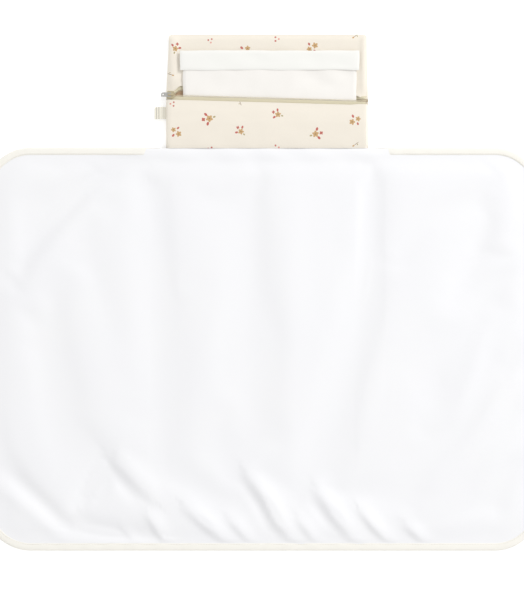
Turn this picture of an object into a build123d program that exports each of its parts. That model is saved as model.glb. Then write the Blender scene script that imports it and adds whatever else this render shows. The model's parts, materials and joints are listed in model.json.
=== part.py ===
from build123d import *
import os

# A changing pad that folds in three, with a zipped pouch sewn to its top edge.
#
# Millimetres, +Z up. The pad lies open and face up, its underside on z = 0, and the origin is
# at the middle of the underside. X runs along the pad's length and +Y towards the pouch.

os.makedirs("parts", exist_ok=True)

# The pad
pad_length = 700
pad_width = 505
pad_thickness = 5
corner_radius = 60
fold_half = 130  # from the pouch's middle to each fold line
fold_slit = 0.6  # between two panels along a fold line
cover_thickness = 0.8
binding_thickness = 0.6
binding_width = 9.5
binding_web = 0.8  # the binding's fold round the raw edge
tongue = binding_thickness + cover_thickness  # a cover's edge, tucked inside the binding

# The pouch, a flat bag that lies beyond the pad's top edge
pouch_x = 5.5  # its middle, a little right of the pad's
pouch_width = 253
pouch_height = 141
pouch_corner = 4
pouch_start = pad_width / 2 + fold_slit
pouch_end = pouch_start + pouch_height
pouch_left = pouch_x - pouch_width / 2
cloth = 1.0
lining_thickness = 0.4
lining_inset = 1.2
upper_thickness = 1.4  # the front above the zip
pouch_floor = cloth + lining_thickness
mouth_height = 8.5  # underside of the lower front panel, where it stands open
seam_run = 9  # the lower front panel rises to that height over this length
side_thickness = 1.1

# The zip, which runs right across the pouch and drops a little to the right
zip_y = 314.2
zip_tilt = -1.6
zip_half = pouch_width / 2 - 1.4
tape_thickness = 0.5
tape_width = 9.4
chain_width = 1.8
chain_height = 1.2
chain_overlap = 0.2  # each chain reaches this far past the zip's middle line
panel_setback = 6.0  # from the zip's middle line to the front panels' edges
stop_length = 1.3
chain_fillet = 0.3

# The slider and its pull
slider_length = 10
slider_width = 9.4
slider_plate = 0.8
slider_gap = 0.35  # between the chain and each plate
slider_start = -120.5
bridge_length = 6
bridge_width = 2
bridge_height = 2
bridge_bar = 0.8
divider_length = 3.3
divider_width = 2.0
divider_gap = 0.4  # between the divider and the lower chain
plate_corner = 2.35
plate_fillet = 0.25
pull_width = 5.4
pull_length = 12
pull_thickness = 0.9
pull_clearance = 0.35
pull_corner = 2.45
pull_hole = 0.9  # radius

# The ribbon tab in the pouch's left side seam
tab_y = 295.4
tab_height = 15
tab_reach = 14.5
tab_ply = 0.8
tab_thickness = 2.0

# The folded liner that the pouch holds
liner_centre_x = 8.7
liner_width = 217
liner_start = 263
liner_end = 373.5
liner_underside = 3.2
liner_thickness = 3.0
liner_corner = 5.0
liner_fillet = 1.0
cuff_depth = 24
cuff_thickness = 1.6
cuff_overhang = 3.5  # past the liner's sides
cuff_end_inset = 1.5  # from the liner's top edge
cuff_fillet = 0.7

chain_edge = chain_width - chain_overlap
tape_edge = chain_edge + tape_width
pouch_top = mouth_height + cloth
lower_tape_z = mouth_height - tape_thickness
lower_chain_z = mouth_height - tape_thickness / 2 - chain_height / 2
upper_chain_z = pouch_floor
mouth_plane = Plane((pouch_x, zip_y, 0)).rotated((0, 0, zip_tilt))
zip_axis = Axis(mouth_plane.origin, mouth_plane.x_dir)


def column_outline(inset, low, high, height):
    """The pad's outline, drawn in by inset all round, between two values of X."""
    with BuildSketch(Plane.XY.offset(height)) as outline:
        RectangleRounded(
            pad_length - 2 * inset, pad_width - 2 * inset, corner_radius - inset
        )
        with Locations(((low + high) / 2, 0)):
            Rectangle(high - low, pad_width, mode=Mode.INTERSECT)
    return outline.sketch


def zip_strip(low_x, high_x, low_y, high_y, height):
    """A rectangle in the zip's own tilted frame."""
    with BuildSketch(mouth_plane.offset(height)) as strip:
        with Locations(((low_x + high_x) / 2, (low_y + high_y) / 2)):
            Rectangle(high_x - low_x, high_y - low_y)
    return strip.sketch


# Three panels, each a quilted sandwich of face, wadding and back, bound along its outer edge
half_slit = fold_slit / 2
left_fold_x = pouch_x - fold_half
right_fold_x = pouch_x + fold_half
columns = {
    "left": (-pad_length / 2, left_fold_x - half_slit),
    "middle": (left_fold_x + half_slit, right_fold_x - half_slit),
    "right": (right_fold_x + half_slit, pad_length / 2),
}
for panel, (low, high) in columns.items():
    with BuildPart() as back_cover:
        extrude(
            column_outline(binding_web, low, high, binding_thickness),
            amount=cover_thickness,
        )
        extrude(column_outline(binding_width, low, high, 0), amount=cover_thickness)
    back_cover.part.label = f"{panel}_back_cover"
    export_step(back_cover.part, f"parts/{panel}_back_cover.step")

    with BuildPart() as wadding:
        extrude(
            column_outline(binding_web, low, high, tongue),
            amount=pad_thickness - 2 * tongue,
        )
    wadding.part.label = f"{panel}_wadding"
    export_step(wadding.part, f"parts/{panel}_wadding.step")

    with BuildPart() as face_cover:
        extrude(
            column_outline(binding_web, low, high, pad_thickness - tongue),
            amount=cover_thickness,
        )
        extrude(
            column_outline(binding_width, low, high, pad_thickness - cover_thickness),
            amount=cover_thickness,
        )
    face_cover.part.label = f"{panel}_face_cover"
    export_step(face_cover.part, f"parts/{panel}_face_cover.step")

    with BuildPart() as edge_binding:
        extrude(column_outline(0, low, high, 0), amount=pad_thickness)
        extrude(
            column_outline(binding_width, low, high, 0),
            amount=pad_thickness,
            mode=Mode.SUBTRACT,
        )
        extrude(
            column_outline(binding_web, low, high, binding_thickness),
            amount=pad_thickness - 2 * binding_thickness,
            mode=Mode.SUBTRACT,
        )
    edge_binding.part.label = f"{panel}_edge_binding"
    export_step(edge_binding.part, f"parts/{panel}_edge_binding.step")

# The pouch's back panel, with rounded top corners
with BuildPart() as pouch_back_panel:
    with BuildSketch() as back_outline:
        with Locations((pouch_x, pouch_start)):
            Rectangle(pouch_width, pouch_height, align=(Align.CENTER, Align.MIN))
        top_corners = back_outline.vertices().group_by(Axis.Y)[-1]
        fillet(top_corners, pouch_corner)
    extrude(amount=cloth)
pouch_back_panel.part.label = "pouch_back_panel"
export_step(pouch_back_panel.part, "parts/pouch_back_panel.step")

with BuildPart() as pouch_lining:
    with BuildSketch(Plane.XY.offset(cloth)):
        with Locations((pouch_x, pouch_start + pouch_height / 2)):
            RectangleRounded(
                pouch_width - 2 * lining_inset,
                pouch_height - 2 * lining_inset,
                pouch_corner - lining_inset,
            )
    extrude(amount=lining_thickness)
pouch_lining.part.label = "pouch_lining"
export_step(pouch_lining.part, "parts/pouch_lining.step")

# The front above the zip lies flat, with the zip's upper tape tucked under its edge
with BuildPart() as pouch_front_upper:
    with BuildSketch(Plane.XY.offset(pouch_floor)) as upper_outline:
        with Locations((pouch_x, pouch_start)):
            Rectangle(pouch_width, pouch_height, align=(Align.CENTER, Align.MIN))
        fillet(upper_outline.vertices().group_by(Axis.Y)[-1], pouch_corner)
    extrude(amount=upper_thickness)
    extrude(
        zip_strip(-pouch_width, pouch_width, -pouch_height, panel_setback, 0),
        amount=pouch_top,
        mode=Mode.SUBTRACT,
    )
    extrude(
        zip_strip(-pouch_width, pouch_width, 0, tape_edge, pouch_floor),
        amount=tape_thickness,
        mode=Mode.SUBTRACT,
    )
pouch_front_upper.part.label = "pouch_front_upper"
export_step(pouch_front_upper.part, "parts/pouch_front_upper.step")

# The front below the zip rises from the bottom seam and stands open at the mouth
seam_end = pouch_start + seam_run
with BuildPart() as pouch_front_lower:
    with BuildSketch(Plane.YZ.offset(pouch_x)):
        with BuildLine():
            Polyline(
                (pouch_start, pouch_floor),
                (seam_end, mouth_height),
                (pouch_end, mouth_height),
                (pouch_end, pouch_top),
                (seam_end, pouch_top),
                (pouch_start, pouch_floor + cloth),
                close=True,
            )
        make_face()
    extrude(amount=pouch_width / 2, both=True)
    extrude(
        zip_strip(-pouch_width, pouch_width, -panel_setback, pouch_height, 0),
        amount=pouch_top,
        mode=Mode.SUBTRACT,
    )
pouch_front_lower.part.label = "pouch_front_lower"
export_step(pouch_front_lower.part, "parts/pouch_front_lower.step")

# The sides close the mouth's two ends
for side, centre_x in (
    ("left", pouch_left + side_thickness / 2),
    ("right", pouch_left + pouch_width - side_thickness / 2),
):
    with BuildPart() as pouch_side:
        with BuildSketch(Plane.YZ.offset(centre_x)):
            with BuildLine():
                Polyline(
                    (pouch_start, pouch_floor),
                    (seam_end, mouth_height),
                    (pouch_end, mouth_height),
                    (pouch_end, pouch_floor),
                    close=True,
                )
            make_face()
        extrude(amount=side_thickness / 2, both=True)
        extrude(
            zip_strip(-pouch_width, pouch_width, -panel_setback, pouch_height, 0),
            amount=pouch_top,
            mode=Mode.SUBTRACT,
        )
    pouch_side.part.label = f"pouch_side_{side}"
    export_step(pouch_side.part, f"parts/pouch_side_{side}.step")

# The zip: a tape and a chain on each side of the mouth
with BuildPart() as zip_tape_upper:
    extrude(
        zip_strip(-zip_half, zip_half, chain_edge, tape_edge, pouch_floor),
        amount=tape_thickness,
    )
zip_tape_upper.part.label = "zip_tape_upper"
export_step(zip_tape_upper.part, "parts/zip_tape_upper.step")

with BuildPart() as zip_tape_lower:
    extrude(
        zip_strip(-zip_half, zip_half, -tape_edge, -chain_edge, lower_tape_z),
        amount=tape_thickness,
    )
zip_tape_lower.part.label = "zip_tape_lower"
export_step(zip_tape_lower.part, "parts/zip_tape_lower.step")

with BuildPart() as zip_chain_upper:
    extrude(
        zip_strip(-zip_half, zip_half, -chain_overlap, chain_edge, upper_chain_z),
        amount=chain_height,
    )
    fillet(zip_chain_upper.edges().filter_by(zip_axis), chain_fillet)
zip_chain_upper.part.label = "zip_chain_upper"
export_step(zip_chain_upper.part, "parts/zip_chain_upper.step")

with BuildPart() as zip_chain_lower:
    extrude(
        zip_strip(-zip_half, zip_half, -chain_edge, chain_overlap, lower_chain_z),
        amount=chain_height,
    )
    fillet(zip_chain_lower.edges().filter_by(zip_axis), chain_fillet)
zip_chain_lower.part.label = "zip_chain_lower"
export_step(zip_chain_lower.part, "parts/zip_chain_lower.step")

# A stop at each end of the chains, crimped on just past the last tooth
with BuildPart() as zip_bottom_stop:
    extrude(
        zip_strip(
            -zip_half - stop_length,
            -zip_half,
            -chain_width,
            chain_width / 2,
            lower_chain_z,
        ),
        amount=chain_height,
    )
zip_bottom_stop.part.label = "zip_bottom_stop"
export_step(zip_bottom_stop.part, "parts/zip_bottom_stop.step")

with BuildPart() as zip_top_stops:
    extrude(
        zip_strip(
            zip_half, zip_half + stop_length, -chain_width, chain_overlap, lower_chain_z
        ),
        amount=chain_height,
    )
    extrude(
        zip_strip(
            zip_half, zip_half + stop_length, -chain_overlap, chain_width, upper_chain_z
        ),
        amount=chain_height,
    )
zip_top_stops.part.label = "zip_top_stops"
export_step(zip_top_stops.part, "parts/zip_top_stops.step")

# The slider: two plates held apart by a divider, with a bridge for the pull
lower_plate_z = lower_chain_z - slider_gap - slider_plate
upper_plate_z = lower_chain_z + chain_height + slider_gap
bridge_z = upper_plate_z + slider_plate
slider_plane = Plane(
    mouth_plane.origin + mouth_plane.x_dir * slider_start,
    x_dir=mouth_plane.x_dir,
    z_dir=(0, 0, 1),
)
with BuildPart() as zip_slider:
    for plate_z in (lower_plate_z, upper_plate_z):
        with BuildSketch(slider_plane.offset(plate_z)):
            RectangleRounded(slider_length, slider_width, plate_corner)
        extrude(amount=slider_plate)
    with BuildSketch(slider_plane.offset(lower_plate_z)):
        with Locations((slider_length / 4, chain_overlap + divider_gap)):
            Rectangle(
                divider_length, divider_width, align=(Align.CENTER, Align.MIN)
            )
    extrude(amount=upper_plate_z - lower_plate_z + slider_plate / 2)
    fillet(zip_slider.faces().sort_by(Axis.Z)[-1].edges(), plate_fillet)
    with BuildSketch(slider_plane.offset(bridge_z - slider_plate / 2)):
        Rectangle(bridge_length, bridge_width)
    extrude(amount=bridge_height + slider_plate / 2)
    window_plane = Plane(
        slider_plane.origin + (0, 0, bridge_z),
        x_dir=mouth_plane.x_dir,
        z_dir=-mouth_plane.y_dir,
    )
    with BuildSketch(window_plane):
        Rectangle(
            bridge_length - 2 * bridge_bar,
            bridge_height - bridge_bar,
            align=(Align.CENTER, Align.MIN),
        )
    extrude(amount=bridge_width, both=True, mode=Mode.SUBTRACT)
zip_slider.part.label = "zip_slider"
export_step(zip_slider.part, "parts/zip_slider.step")

# The pull: a rounded tab whose end bar passes under the bridge
pull_z = bridge_z + (bridge_height - bridge_bar) / 2
slot_length = bridge_length / 2 + pull_clearance
slot_width = bridge_width + 2 * pull_clearance
bar_width = pull_thickness
pull_plane = slider_plane.offset(pull_z - pull_thickness / 2)
with BuildPart() as zip_pull:
    with BuildSketch(pull_plane) as pull_outline:
        with Locations((bar_width / 2, 0)):
            Rectangle(
                pull_length + bar_width / 2,
                pull_width,
                align=(Align.MAX, Align.CENTER),
            )
        fillet(pull_outline.vertices().group_by(zip_axis)[0], pull_corner)
        with Locations((-bar_width / 2, 0)):
            Rectangle(
                slot_length,
                slot_width,
                align=(Align.MAX, Align.CENTER),
                mode=Mode.SUBTRACT,
            )
        with Locations((-pull_length + pull_width / 2, 0)):
            Circle(pull_hole, mode=Mode.SUBTRACT)
    extrude(amount=pull_thickness)
zip_pull.part.label = "zip_pull"
export_step(zip_pull.part, "parts/zip_pull.step")

# The tab: a ribbon folded back on itself, its ends in the pouch's left side seam
tab_end = pouch_left - tab_reach
with BuildPart() as side_tab:
    with BuildSketch(Plane.XZ.offset(-tab_y)):
        with Locations((pouch_left, pouch_floor)):
            Rectangle(
                tab_reach - tab_thickness / 2,
                tab_thickness,
                align=(Align.MAX, Align.MIN),
            )
        with Locations(
            (tab_end + tab_thickness / 2, pouch_floor + tab_thickness / 2)
        ):
            Circle(tab_thickness / 2)
            Circle(tab_thickness / 2 - tab_ply, mode=Mode.SUBTRACT)
        with Locations((pouch_left, pouch_floor + tab_ply)):
            Rectangle(
                tab_reach - tab_thickness / 2,
                tab_thickness - 2 * tab_ply,
                align=(Align.MAX, Align.MIN),
                mode=Mode.SUBTRACT,
            )
    extrude(amount=tab_height / 2, both=True)
side_tab.part.label = "side_tab"
export_step(side_tab.part, "parts/side_tab.step")

# The liner: a folded cloth, thinner towards the pocket's floor, with its top edge turned down
with BuildPart() as liner_body:
    with BuildSketch(Plane.XY.offset(liner_underside)) as liner_outline:
        with Locations((liner_centre_x, (liner_start + liner_end) / 2)):
            RectangleRounded(liner_width, liner_end - liner_start, liner_corner)
    extrude(amount=liner_thickness)
    fillet(liner_body.faces().sort_by(Axis.Z)[-1].edges(), liner_fillet)
liner_body.part.label = "liner_body"
export_step(liner_body.part, "parts/liner_body.step")

with BuildPart() as liner_cuff:
    with BuildSketch(Plane.XY.offset(liner_underside + liner_thickness)):
        with Locations((liner_centre_x, liner_end - cuff_end_inset)):
            Rectangle(
                liner_width + 2 * cuff_overhang,
                cuff_depth - cuff_end_inset,
                align=(Align.CENTER, Align.MAX),
            )
    extrude(amount=cuff_thickness)
    fillet(liner_cuff.faces().sort_by(Axis.Z)[-1].edges(), cuff_fillet)
liner_cuff.part.label = "liner_cuff"
export_step(liner_cuff.part, "parts/liner_cuff.step")
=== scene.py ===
import json
import math
from functools import partial

import bpy
import numpy as np
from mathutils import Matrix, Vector


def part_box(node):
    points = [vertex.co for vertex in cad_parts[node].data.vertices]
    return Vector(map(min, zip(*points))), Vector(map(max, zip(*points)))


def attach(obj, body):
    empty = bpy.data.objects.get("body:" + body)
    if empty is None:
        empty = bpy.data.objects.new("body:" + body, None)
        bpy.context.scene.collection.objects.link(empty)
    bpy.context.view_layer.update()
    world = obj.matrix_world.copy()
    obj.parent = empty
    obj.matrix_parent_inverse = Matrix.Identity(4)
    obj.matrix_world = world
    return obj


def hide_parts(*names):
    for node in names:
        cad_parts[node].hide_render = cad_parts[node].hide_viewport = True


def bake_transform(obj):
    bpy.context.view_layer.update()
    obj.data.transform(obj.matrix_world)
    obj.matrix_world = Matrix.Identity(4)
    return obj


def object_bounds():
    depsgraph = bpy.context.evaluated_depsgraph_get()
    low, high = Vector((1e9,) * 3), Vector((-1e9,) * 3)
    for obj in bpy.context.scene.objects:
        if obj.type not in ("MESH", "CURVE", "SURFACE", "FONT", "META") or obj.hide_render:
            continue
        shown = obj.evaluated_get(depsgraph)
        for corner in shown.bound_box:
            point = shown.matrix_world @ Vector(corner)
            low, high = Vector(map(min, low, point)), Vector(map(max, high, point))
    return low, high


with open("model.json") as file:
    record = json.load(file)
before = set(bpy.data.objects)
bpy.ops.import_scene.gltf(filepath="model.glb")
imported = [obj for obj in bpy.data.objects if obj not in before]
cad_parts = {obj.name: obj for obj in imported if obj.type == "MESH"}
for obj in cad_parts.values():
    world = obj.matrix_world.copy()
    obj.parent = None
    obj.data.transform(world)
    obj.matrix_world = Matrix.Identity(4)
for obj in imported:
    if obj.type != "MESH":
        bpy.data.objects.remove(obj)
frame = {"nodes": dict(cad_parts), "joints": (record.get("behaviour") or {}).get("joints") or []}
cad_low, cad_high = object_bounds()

# A folding changing pad with a zipped pouch, lying open on a pale floor and seen from above.
# The CAD frame is in metres. Lengths here are in millimetres unless a comment says otherwise,
# and MM turns them into metres.
MM = 0.001
scene = bpy.context.scene
joints = {j["name"]: j for j in frame["joints"]}


def node_box(name):
    """A CAD node's lowest and highest corners, in millimetres."""
    low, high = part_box(name)
    return np.array(low) / MM, np.array(high) / MM


# ---------------------------------------------------------------- sizes, from the frame
HALF_LENGTH = node_box("right_edge_binding")[1][0]
HALF_WIDTH, THICKNESS = node_box("middle_edge_binding")[1][1:]
FOLD_LEFT = joints["left_fold"]["pos_m"][0] / MM
FOLD_RIGHT = joints["right_fold"]["pos_m"][0] / MM
CORNER = 60.0  # the radius of the pad's corners
LEFT_BEND, RIGHT_BEND = 9.0, 12.0  # half the width of cloth that bends at each fold
POUCH_BEND = (HALF_WIDTH - 12.0, HALF_WIDTH + 12.0)

pouch_low, pouch_high = node_box("pouch_back_panel")
chain_low, chain_high = node_box("zip_chain_lower")
MOUTH_TOP = node_box("pouch_front_lower")[1][2]
POUCH_HALF = (pouch_high[0] - pouch_low[0]) / 2
POUCH_MID = (pouch_high[0] + pouch_low[0]) / 2
SEAM_Y = HALF_WIDTH - 1.2  # where the pouch's front is sewn to the face cloth
# the cloth covers the binding between these, beside the pouch
PUFF_LEFT, PUFF_RIGHT = pouch_low[0] - 21, pouch_high[0] + 23
ZIP_AXIS = np.array(joints["zip_slide"]["axis"])
ALONG_ZIP = np.array([ZIP_AXIS[0], ZIP_AXIS[1], 0.0])
ACROSS_ZIP = np.array([-ZIP_AXIS[1], ZIP_AXIS[0], 0.0])
ZIP_SLOPE = ZIP_AXIS[1] / ZIP_AXIS[0]
ZIP_Y = (chain_low[1] + chain_high[1]) / 2 + 0.7  # at the pouch's middle
CHAIN_Z = (chain_low[2] + chain_high[2]) / 2
ZIP_HALF = (chain_high[0] - chain_low[0]) / 2
GAPE = 6.2  # how far the zip's two sides stand apart behind the liner


def smooth(value, low, high):
    """0 up to low, 1 from high, and a soft step between."""
    t = np.clip((value - low) / (high - low), 0, 1)
    return t * t * (3 - 2 * t)


def zip_line(x):
    """Y of the zip's middle line at x."""
    return ZIP_Y + ZIP_SLOPE * (x - POUCH_MID)


def zip_opening(x):
    """How far the zip's upper side stands away from the lower one."""
    from_left, to_right = x - pouch_low[0], pouch_high[0] - x
    return GAPE * smooth(from_left, 8, 18) * smooth(to_right, 17, 34)


# ---------------------------------------------------------------- camera, light and floor
CAMERA_HEIGHT = 2.2  # metres above the pad's face
VIEW_SIDE = 0.7506  # metres of the pad that the picture's longer side takes in
VIEW_SHIFT = (-0.9, -9.4)  # from the CAD box's middle to the picture's
KEY_PLACE, KEY_SIZE, KEY_POWER = (3.0, 2.4, 2.5), 1.1, 84  # metres and watts
WORLD_STRENGTH = 0.862
FLOOR_REACH, FLOOR_DROP = 6.0, 0.3  # metres, and millimetres below the pad


def make_camera():
    """Straight down, from well above."""
    middle = (Vector(cad_low) + Vector(cad_high)) / 2
    target = Vector(
        (middle.x + VIEW_SHIFT[0] * MM, middle.y + VIEW_SHIFT[1] * MM, THICKNESS * MM)
    )
    data = bpy.data.cameras.new("camera")
    camera = bpy.data.objects.new("camera", data)
    scene.collection.objects.link(camera)
    camera.location = target + Vector((0, 0, CAMERA_HEIGHT))
    data.sensor_width = 36
    data.lens = data.sensor_width * CAMERA_HEIGHT / VIEW_SIDE
    scene.camera = camera


def make_light_and_floor():
    world = bpy.data.worlds.new("studio")
    world.use_nodes = True
    background = world.node_tree.nodes["Background"].inputs
    background["Color"].default_value = (1, 1, 1, 1)
    background["Strength"].default_value = WORLD_STRENGTH
    scene.world = world
    scene.view_settings.view_transform = "Standard"

    data = bpy.data.lights.new("key", "AREA")
    data.shape = "DISK"
    data.size = KEY_SIZE
    data.energy = KEY_POWER
    light = bpy.data.objects.new("key", data)
    scene.collection.objects.link(light)
    light.location = KEY_PLACE
    light.rotation_euler = (-Vector(KEY_PLACE)).to_track_quat("-Z", "Y").to_euler()

    mesh = bpy.data.meshes.new("floor")
    corners = [(x * FLOOR_REACH, y * FLOOR_REACH) for x, y in ((-1, -1), (1, -1), (1, 1), (-1, 1))]
    mesh.from_pydata([(x, y, -FLOOR_DROP * MM) for x, y in corners], [], [(0, 1, 2, 3)])
    floor = bpy.data.objects.new("floor", mesh)
    scene.collection.objects.link(floor)
    floor.data.materials.append(floor_material())


# ---------------------------------------------------------------- shader helpers
COLOUR_A, COLOUR_B, COLOUR_OUT = 6, 7, 2  # the sockets of a Mix node for colours
WEAVE = None  # as a bump's detail: threads in place of noise


def feed(tree, socket, value):
    """Link a socket's value, or set a constant."""
    if isinstance(value, bpy.types.NodeSocket):
        tree.links.new(value, socket)
    else:
        socket.default_value = value


def node_maths(tree, operation, *values):
    made = tree.nodes.new("ShaderNodeMath")
    made.operation = operation
    for socket, value in zip(made.inputs, values):
        feed(tree, socket, value)
    return made.outputs[0]


class Shader:
    """A material with one Principled shader, and short calls for the nodes that feed it."""

    def __init__(self, name, colour, roughness):
        self.material = bpy.data.materials.new(name)
        self.material.use_nodes = True
        self.tree = self.material.node_tree
        self.surface = self.tree.nodes["Principled BSDF"].inputs
        self.maths = partial(node_maths, self.tree)
        self.set({"Base Color": (*colour, 1), "Roughness": roughness})

    def set(self, values):
        for socket, value in values.items():
            self.surface[socket].default_value = value

    def node(self, kind, inputs, **settings):
        """A new node with these settings, fed with these inputs."""
        made = self.tree.nodes.new(kind)
        for key, value in settings.items():
            setattr(made, key, value)
        for key, value in inputs.items():
            feed(self.tree, made.inputs[key], value)
        return made

    def cloth(self):
        """The cloth's own flat coordinates, in metres."""
        return self.node("ShaderNodeUVMap", {}, uv_map="cloth").outputs[0]

    def body(self):
        """The piece's own solid coordinates, for pieces that never bend."""
        return self.node("ShaderNodeTexCoord", {}).outputs["Object"]

    def noise(self, where, scale, detail=2.0):
        inputs = {"Vector": where, "Scale": scale, "Detail": detail}
        return self.node("ShaderNodeTexNoise", inputs).outputs["Fac"]

    def stretch(self, value, low, high, to_low, to_high):
        inputs = {"From Min": low, "From Max": high, "To Min": to_low, "To Max": to_high}
        return self.node("ShaderNodeMapRange", {"Value": value, **inputs}).outputs["Result"]

    def mix(self, share, first, second):
        """Between two colours, each a socket or three numbers."""
        first, second = ((*c, 1) if isinstance(c, tuple) else c for c in (first, second))
        inputs = {"Factor": share, COLOUR_A: first, COLOUR_B: second}
        return self.node("ShaderNodeMix", inputs, data_type="RGBA").outputs[COLOUR_OUT]

    def weave(self, where, threads_per_m):
        """A plain weave's height: one set of threads over and under the other."""
        split = self.node("ShaderNodeSeparateXYZ", {0: where}).outputs
        turn = 2 * math.pi * threads_per_m
        waves = [self.maths("SINE", self.maths("MULTIPLY", split[i], turn)) for i in (0, 1)]
        return self.maths("MULTIPLY", *waves)

    def bump(self, height, depth, strength):
        """One more bump on top of those before."""
        normal = self.surface["Normal"]
        inputs = {"Strength": strength, "Distance": depth * MM, "Height": height}
        if normal.is_linked:
            inputs["Normal"] = normal.links[0].from_socket
        self.tree.links.new(self.node("ShaderNodeBump", inputs).outputs[0], normal)

    def finish(self, where, colour, grain, rough, bumps, values):
        """The material, with its colour, an uneven roughness and its bumps.

        grain is the roughness noise's (scale, detail), rough its two ends, and each bump is
        (scale, detail, depth, strength).
        """
        self.tree.links.new(colour, self.surface["Base Color"])
        spread = self.stretch(self.noise(where, *grain), 0.3, 0.7, *rough)
        self.tree.links.new(spread, self.surface["Roughness"])
        self.set(values)
        for scale, detail, depth, strength in bumps:
            if detail is WEAVE:
                height = self.weave(where, scale)
            else:
                height = self.noise(where, scale, detail)
            self.bump(height, depth, strength)
        return self.material


def sheen(weight, rough, specular):
    return {"Sheen Weight": weight, "Sheen Roughness": rough, "Specular IOR Level": specular}


def floor_material():
    """A white light table, which keeps the shadows on it faint."""
    made = Shader("floor", (0.97, 0.97, 0.97), 0.85)
    speckle = made.noise(made.body(), 90)
    colour = made.mix(speckle, (0.965, 0.965, 0.965), (0.985, 0.985, 0.985))
    made.tree.links.new(colour, made.surface["Base Color"])
    made.set(
        {"Specular IOR Level": 0.2, "Emission Color": (1, 1, 1, 1), "Emission Strength": 0.25}
    )
    return made.material


def coated_material():
    """Smooth white coated cloth: fine weave under a satin film."""
    made = Shader("coated_cloth", (0.87, 0.87, 0.885), 0.42)
    where = made.cloth()
    colour = made.mix(made.noise(where, 9, 3), (0.862, 0.862, 0.885), (0.885, 0.885, 0.892))
    bumps = ((420, 3, 0.05, 0.4), (1700, WEAVE, 0.025, 0.5))
    values = {"Coat Weight": 0.12, "Coat Roughness": 0.35, **sheen(0.08, 0.4, 0.42)}
    return made.finish(where, colour, (60, 4), (0.36, 0.48), bumps, values)


def plain_cloth(name, light, dark, threads):
    """A woven cotton with a slightly uneven colour."""
    made = Shader(name, light, 0.85)
    where = made.cloth()
    colour = made.mix(made.noise(where, 35, 4), dark, light)
    bumps = ((600, 3, 0.12, 0.4), (threads, WEAVE, 0.06, 0.7))
    return made.finish(where, colour, (240, 3), (0.78, 0.9), bumps, sheen(0.25, 0.5, 0.25))


def ribbed_cloth(name, light, dark, ribs, stripes=()):
    """A corded ribbon: ribs straight across, their troughs painted darker than their crests as
    painted shade, fine threads between, and dark stripes at the millimetres given along it."""
    made = Shader(name, light, 0.7)
    where = made.cloth()
    along = made.node("ShaderNodeSeparateXYZ", {0: where}).outputs[0]
    wave = made.maths("SINE", made.maths("MULTIPLY", along, 2 * math.pi * ribs))
    # painted shade: the rib troughs are coloured darker than the crests, following the rib's
    # height
    colour = made.mix(made.stretch(wave, -1, 1, 0, 1), dark, light)
    for place in stripes:
        far = made.maths("ABSOLUTE", made.maths("SUBTRACT", along, place * MM))
        share = made.stretch(far, 0.25 * MM, 0.6 * MM, 0.75, 0.0)
        colour = made.mix(share, colour, tuple(0.45 * c for c in dark))
    made.bump(wave, 0.12, 0.8)
    threads = ((2200, WEAVE, 0.04, 0.6),)
    return made.finish(where, colour, (300, 3), (0.62, 0.76), threads, {"Sheen Weight": 0.2})


def fibre_material(name, light, dark, scale):
    """A soft non-woven: matted fibres, no weave."""
    made = Shader(name, light, 0.92)
    where = made.cloth()
    colour = made.mix(made.noise(where, scale, 5), dark, light)
    bumps = ((scale * 4, 5, 0.14, 0.4), (scale * 14, 3, 0.08, 0.5))
    return made.finish(where, colour, (scale * 2, 3), (0.84, 0.96), bumps, sheen(0.3, 0.6, 0.2))


def metal_material(name, light, dark, rough):
    made = Shader(name, light, rough)
    where = made.body()
    colour = made.mix(made.noise(where, 700, 4), dark, light)
    spread, bumps = (rough - 0.08, rough + 0.12), ((2500, 2, 0.02, 0.5),)
    return made.finish(where, colour, (1500, 3), spread, bumps, {"Metallic": 1.0})


def plastic_material(name, light, dark, rough):
    made = Shader(name, light, rough)
    where = made.body()
    colour = made.mix(made.noise(where, 400, 3), dark, light)
    spread, bumps = (rough - 0.06, rough + 0.08), ((1800, 2, 0.03, 0.5),)
    return made.finish(where, colour, (900, 3), spread, bumps, {})


# The print is a half-drop repeat: columns and rows of posies, this far apart in millimetres
PRINT_COLUMNS, PRINT_ROWS = 6, 4
PRINT_PITCH = (45.0, 34.0)
TILE = (PRINT_COLUMNS * PRINT_PITCH[0], PRINT_ROWS * PRINT_PITCH[1])
CREAM = (0.875, 0.815, 0.715)
OCHRE = (0.56, 0.33, 0.12)
CORAL = (0.50, 0.07, 0.05)
PINK = (0.74, 0.27, 0.22)
TAUPE = (0.30, 0.21, 0.13)
OLIVE = (0.40, 0.33, 0.14)
MOTIF_SOCKETS = ("X", "Y", "Radius", "Petals", "Turn", "Waist", "Slim")


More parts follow.
